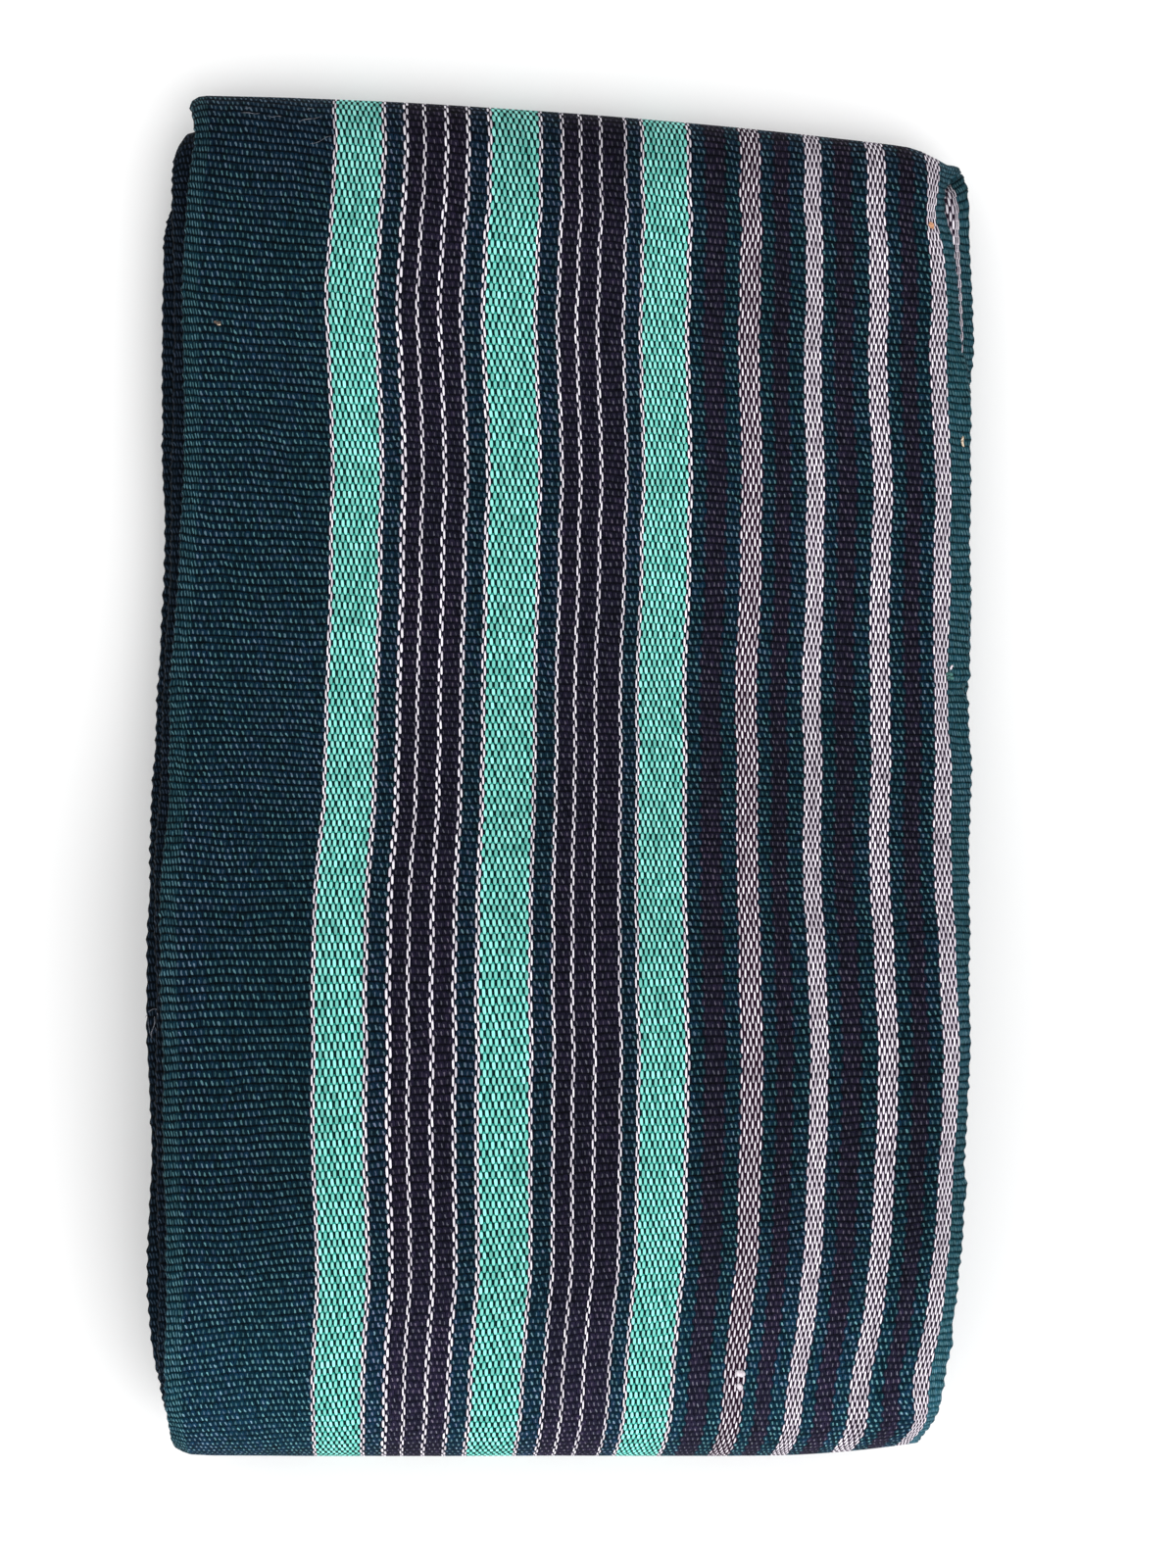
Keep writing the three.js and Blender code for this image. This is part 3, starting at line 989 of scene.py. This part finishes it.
def fibre_material(name, dark, light):
    """A small tuft or hair of one shade, darker between its strands."""
    shade = Shade(name)
    place = shade.node("ShaderNodeTexCoord", output=3)
    strands = shade.clouds(place, 3000.0, 3.0, 0.6)
    colour = shade.mix(shade.rise(strands, 0.35, 0.65), (*dark, 1), (*light, 1))
    return shade.finish({"Base Color": colour, "Roughness": 0.75 + strands * 0.2})


def floor_material(colour):
    """A plain pale floor with the faintest unevenness."""
    shade = Shade("pale_floor")
    place = shade.node("ShaderNodeTexCoord", output=3)
    cloud = shade.clouds(place, 3.0)
    return shade.finish({"Base Color": (*colour, 1), "Roughness": 0.8 + cloud * 0.1})


class AsoOkeCloth(bpy.types.PropertyGroup):
    """Sizes of the cloth"""

    thickness: bpy.props.FloatProperty(
        name="Cloth thickness", description="Between the ribs", default=0.98 * MM, unit="LENGTH"
    )
    rib_height: bpy.props.FloatProperty(
        name="Rib height", description="Crest above groove", default=0.10 * MM, unit="LENGTH"
    )
    loop_size: bpy.props.FloatProperty(
        name="Selvedge loop",
        description="How far the weft stands out where it turns back",
        default=0.22 * MM,
        unit="LENGTH",
    )


class AsoOkeStage(bpy.types.PropertyGroup):
    """Floor, light and camera"""

    floor_colour: bpy.props.FloatVectorProperty(
        name="Floor colour",
        description="Colour of the pale floor",
        default=(0.95, 0.95, 0.95),
        size=3,
        subtype="COLOR",
    )
    light_power: bpy.props.FloatProperty(
        name="Light", description="Power of the large soft light", default=9.0, unit="POWER"
    )
    sky_strength: bpy.props.FloatProperty(
        name="Sky", description="Strength of the even light from all sides", default=0.95
    )


def woven(covered):
    """The cloth's material, made once, and its copy with painted shadow over the left part for the
    turns underneath.
    """
    name = "painted_shadow_weave" if covered else "warp_faced_weave"
    found = bpy.data.materials.get(name)
    return found if found is not None else woven_material(name, SHADOWS[covered])


def relief(sizes, droop, corners="covered"):
    """The relief of a turn's ribs and selvedges, and how its corners are rounded."""
    return {
        "corners": corners,
        "rib": sizes.rib_height / MM,
        "loop": sizes.loop_size / MM,
        "droop": droop,
    }


def dress(cloth, nodes=()):
    """Gives a piece its material and its body, and hides the solids that it stands for."""
    cloth.data.materials.append(woven("outer_turn" not in nodes))
    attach(cloth, "root")
    if nodes:
        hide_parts(*nodes)


def hills(x, y):
    """Low hills and hollows of the face, a few tenths of a millimetre."""
    return waves(HILLS, x, y)


def steady(value):
    """A curve that is the same everywhere."""
    return lambda y: 0 * y + value


def outer_edges(left, right, below):
    """The selvedges of a turn that stands out past the outer turn's by these."""

    def edges(y, top):
        sides = []
        for side, sign, stand_out in ((0, -1, left), (1, 1, right)):
            on_face = face_edges[side](y) + sign * stand_out(y)
            underneath = base_edges[side](y) + sign * below
            sides.append(underneath + (on_face - underneath) * top)
        return sides

    return edges


def level_path(turn):
    """The side path of one of the outer turns, whole layers inside the outermost."""
    inset = turn["level"] * LAYER + CAD_CLOTH / 2
    return SidePath(steady(inset), lambda y: height(y) - inset, steady(inset + LAYER), turn)


def inner_pitch(y):
    """The height that each layer of the inner turns has."""
    return (height(y) - 2 * len(TURNS) * LAYER) / (2 * len(INNER_TURNS))


def inner_pass(k, place):
    """The height of inner turn number k: under, over, or on the tail after its top fold."""
    inset = len(TURNS) * LAYER

    def at(y):
        pitch = inner_pitch(y)
        loose = np.clip(pitch - LOOSE_FROM, 0, 2) * LOOSE_SHARE
        wave = loose * wander(y, LOOSE_LENGTH, LOOSE_SEED + k)
        if place == "over":
            return height(y) - inset - (k + 0.5) * pitch + wave
        return inset + (k + (0.5 if place == "under" else 1.5)) * pitch + wave

    return at


def inner_edges(turn, k):
    """The selvedges of inner turn number k, drawn in or out and slowly waved."""

    def edges(y, top):
        sides = []
        wave = EDGE_WAVE * np.sin(y / EDGE_WAVE_LENGTH + EDGE_WAVE_STEP * (k + 3 * top))
        for side, sign, key in ((0, -1, "left"), (1, 1, "right")):
            low, high = turn[key]
            out = low + (high - low) * top + wave
            sides.append(face_edges[side](y) + sign * out)
        return sides

    return edges


def squeezed_drift(y):
    """The second turn's last white stripe, pushed to its selvedge near the top fold."""
    lines = np.zeros((len(DRIFT_STRIPES), len(y)))
    lines[-2:] = SQUEEZE * smooth_step(y, SQUEEZE_FROM, SQUEEZE_TO)
    return lines


def zero_drift(y):
    """The drift of a turn whose stripes stay in their places."""
    return np.zeros((len(DRIFT_STRIPES), len(y)))


class ASO_OT_outer_turn(bpy.types.Operator):
    """Outer turn: the underside, the bottom fold, the whole face and the top fold"""

    bl_idname = "aso.outer_turn"
    bl_label = "Outer turn"

    def execute(self, context):
        sizes = context.scene.aso_cloth
        name = "outer_turn_cloth"
        turn = TURNS[name]
        cloth = cloth_mesh(
            name,
            level_path(turn),
            stripe_columns(FACE_SPACING),
            even_columns(LINING_COLUMNS),
            outer_edges(steady(0), steady(0), turn["below"]),
            steady(sizes.thickness / MM / 2),
            lambda y: np.array([line(y) for line in drift_curves]),
            hills,
            relief(sizes, EDGE_DROOP, "outer"),
        )
        dress(cloth, [turn["node"]])
        return {"FINISHED"}


class ASO_OT_covered_turns(bpy.types.Operator):
    """Second and third turns, which show at the left edge and at the top right corner"""

    bl_idname = "aso.covered_turns"
    bl_label = "Second and third turns"

    def execute(self, context):
        sizes = context.scene.aso_cloth
        stand_out = {
            "second_turn_cloth": (curve(FACE, "second_left"), curve(FACE, "second_right")),
            "third_turn_cloth": (curve(FACE, "third_left"), steady(THIRD_RIGHT)),
        }
        for name, sides in stand_out.items():
            turn = TURNS[name]
            cloth = cloth_mesh(
                name,
                level_path(turn),
                even_columns(COVERED_COLUMNS),
                even_columns(PLAIN_LINING),
                outer_edges(*sides, turn["below"]),
                steady(sizes.thickness / MM / 2),
                squeezed_drift,
                hills,
                relief(sizes, EDGE_DROOP),
            )
            dress(cloth, [turn["node"]])
        return {"FINISHED"}


class ASO_OT_inner_turns(bpy.types.Operator):
    """The three hidden inner turns, whose edges show from the sides"""

    bl_idname = "aso.inner_turns"
    bl_label = "Inner turns"

    def execute(self, context):
        sizes = context.scene.aso_cloth
        names = list(INNER_TURNS)
        for k, (name, turn) in enumerate(INNER_TURNS.items()):
            path = SidePath(*(inner_pass(k, place) for place in ("under", "over", "tail")), turn)
            cloth = cloth_mesh(
                name,
                path,
                even_columns(INNER_COLUMNS),
                even_columns(PLAIN_LINING),
                inner_edges(turn, k),
                lambda y: np.minimum(sizes.thickness / MM / 2, PACKED_SHARE * inner_pitch(y)),
                zero_drift,
                lambda x, y: 0 * x,
                {**relief(sizes, INNER_DROOP), "rib": INNER_RIB},
            )
            below = names[k + 1] if k + 1 < len(names) else names[k - 1]
            dress(cloth, ["inner_layers"] if k == 0 else [])
        return {"FINISHED"}


def face_height(cloths, x, y):
    """The height of the highest cloth under a point, or None past the edge."""
    hits = [cloth.ray_cast((x * MM, y * MM, 0.1), (0, 0, -1)) for cloth in cloths]
    return max((place.z / MM for found, place, _, _ in hits if found), default=None)


def fibre_points(cloths, marks, radius):
    """A fibre's middle line: its marks joined smoothly and laid on the cloth."""
    marks = np.array(marks)
    along = np.linspace(0, len(marks) - 1, FIBRE_STEPS)
    x, y = (np.interp(along, np.arange(len(marks)), line) for line in marks.T)
    heights = [face_height(cloths, *place) for place in zip(x, y)]
    lowest = min(z for z in heights if z is not None)
    z = [radius * FIBRE_FLATNESS + (lowest if z is None else z) for z in heights]
    return np.stack([x, y, z], 1)


def fibre_shell(points, radius, first):
    """A fibre's corners, numbered from first, and faces: a closed tube with tapered tips."""
    ahead = np.gradient(points, axis=0)
    aside = np.stack([-ahead[:, 1], ahead[:, 0]], 1)
    aside = aside / np.linalg.norm(aside, axis=1)[:, None]
    swell = np.sqrt(1 - np.linspace(-FIBRE_TIP, FIBRE_TIP, FIBRE_STEPS) ** 4) * radius
    verts, faces = [], []
    for point, side, size in zip(points, aside, swell):
        for angle in np.linspace(0, 2 * math.pi, FIBRE_SIDES, endpoint=False):
            out = math.cos(angle) * size
            up = math.sin(angle) * size * FIBRE_FLATNESS
            verts.append(point + np.array([side[0] * out, side[1] * out, up]))
    for low in range(first, first + (FIBRE_STEPS - 1) * FIBRE_SIDES, FIBRE_SIDES):
        high = low + FIBRE_SIDES
        for k in range(FIBRE_SIDES):
            after = (k + 1) % FIBRE_SIDES
            faces.append((low + k, low + after, high + after, high + k))
    last = first + (FIBRE_STEPS - 1) * FIBRE_SIDES
    faces.append(tuple(range(first, first + FIBRE_SIDES))[::-1])
    faces.append(tuple(range(last, last + FIBRE_SIDES)))
    return verts, faces


class ASO_OT_stray_fibres(bpy.types.Operator):
    """Stray fibres: the slubs, flecks and fine hairs that lie on the cloth"""

    bl_idname = "aso.stray_fibres"
    bl_label = "Stray fibres"

    def execute(self, context):
        cloths = [bpy.data.objects[name] for name in TURNS]
        shades = list(FIBRE_SHADES)
        verts, faces, slots = [], [], []
        for name, radius, marks in FIBRES:
            points = fibre_points(cloths, marks, radius)
            more_verts, more_faces = fibre_shell(points, radius, len(verts))
            verts += more_verts
            faces += more_faces
            slots += [shades.index(name)] * len(more_faces)
        mesh = bpy.data.meshes.new("stray_fibres")
        mesh.from_pydata((np.array(verts) * MM).tolist(), [], faces)
        for name, (dark, light) in FIBRE_SHADES.items():
            mesh.materials.append(fibre_material(f"{name}_fibre", dark, light))
        mesh.polygons.foreach_set("material_index", slots)
        mesh.shade_smooth()
        mesh.validate()
        fibres = bpy.data.objects.new("stray_fibres", mesh)
        context.scene.collection.objects.link(fibres)
        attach(fibres, "root")
        return {"FINISHED"}


class ASO_OT_stage(bpy.types.Operator):
    """Pale floor, soft studio light and the overhead camera"""

    bl_idname = "aso.stage"
    bl_label = "Stage"

    def execute(self, context):
        look = context.scene.aso_stage
        bpy.ops.object.select_all(action="DESELECT")
        bpy.ops.mesh.primitive_grid_add(x_subdivisions=8, y_subdivisions=8, size=FLOOR_SIZE)
        floor = context.active_object
        floor.name = "pale_floor"
        floor.data.materials.append(floor_material(tuple(look.floor_colour)))

        world = bpy.data.worlds.new("even_sky")
        world.use_nodes = True
        sky = world.node_tree.nodes["Background"]
        sky.inputs["Color"].default_value = (1, 1, 1, 1)
        sky.inputs["Strength"].default_value = look.sky_strength
        context.scene.world = world

        bpy.ops.object.light_add(type="AREA", location=LIGHT_PLACE)
        key = context.active_object
        key.name = "soft_light"
        key.data.shape = "DISK"
        key.data.size = LIGHT_SIZE
        key.data.energy = look.light_power
        key.rotation_euler = (-key.location).to_track_quat("-Z", "Y").to_euler()

        bpy.ops.object.camera_add(location=CAMERA_PLACE, rotation=(0, 0, 0))
        camera = context.active_object
        camera.name = "overhead_camera"
        camera.data.sensor_width = CAMERA_FILM
        camera.data.lens = CAMERA_LENS
        camera.data.clip_start = 0.01
        camera.data.clip_end = 20
        context.scene.camera = camera
        context.scene.view_settings.view_transform = "Standard"
        return {"FINISHED"}


class ASO_PT_panel(bpy.types.Panel):
    """Lists the steps and the sizes in the 3D view's sidebar"""

    bl_idname = "ASO_PT_panel"
    bl_label = "Aso oke cloth"
    bl_space_type = "VIEW_3D"
    bl_region_type = "UI"
    bl_category = "Aso oke"

    def draw(self, context):
        for group in (context.scene.aso_cloth, context.scene.aso_stage):
            for name in group.__annotations__:
                self.layout.prop(group, name)
        for step in STEPS:
            self.layout.operator(step.bl_idname)


STEPS = (
    ASO_OT_inner_turns,
    ASO_OT_covered_turns,
    ASO_OT_outer_turn,
    ASO_OT_stray_fibres,
    ASO_OT_stage,
)
CLASSES = (AsoOkeCloth, AsoOkeStage, *STEPS, ASO_PT_panel)


def register():
    """Makes the steps and the sizes known to Blender."""
    for cls in CLASSES:
        bpy.utils.register_class(cls)
    bpy.types.Scene.aso_cloth = bpy.props.PointerProperty(type=AsoOkeCloth)
    bpy.types.Scene.aso_stage = bpy.props.PointerProperty(type=AsoOkeStage)


def unregister():
    """Takes them out again, in the reverse order."""
    del bpy.types.Scene.aso_stage
    del bpy.types.Scene.aso_cloth
    for cls in reversed(CLASSES):
        bpy.utils.unregister_class(cls)


def main():
    """Builds the cloth and its stage."""
    register()
    bpy.ops.aso.inner_turns()
    bpy.ops.aso.covered_turns()
    bpy.ops.aso.outer_turn()
    bpy.ops.aso.stray_fibres()
    bpy.ops.aso.stage()


if __name__ == "__main__":
    main()
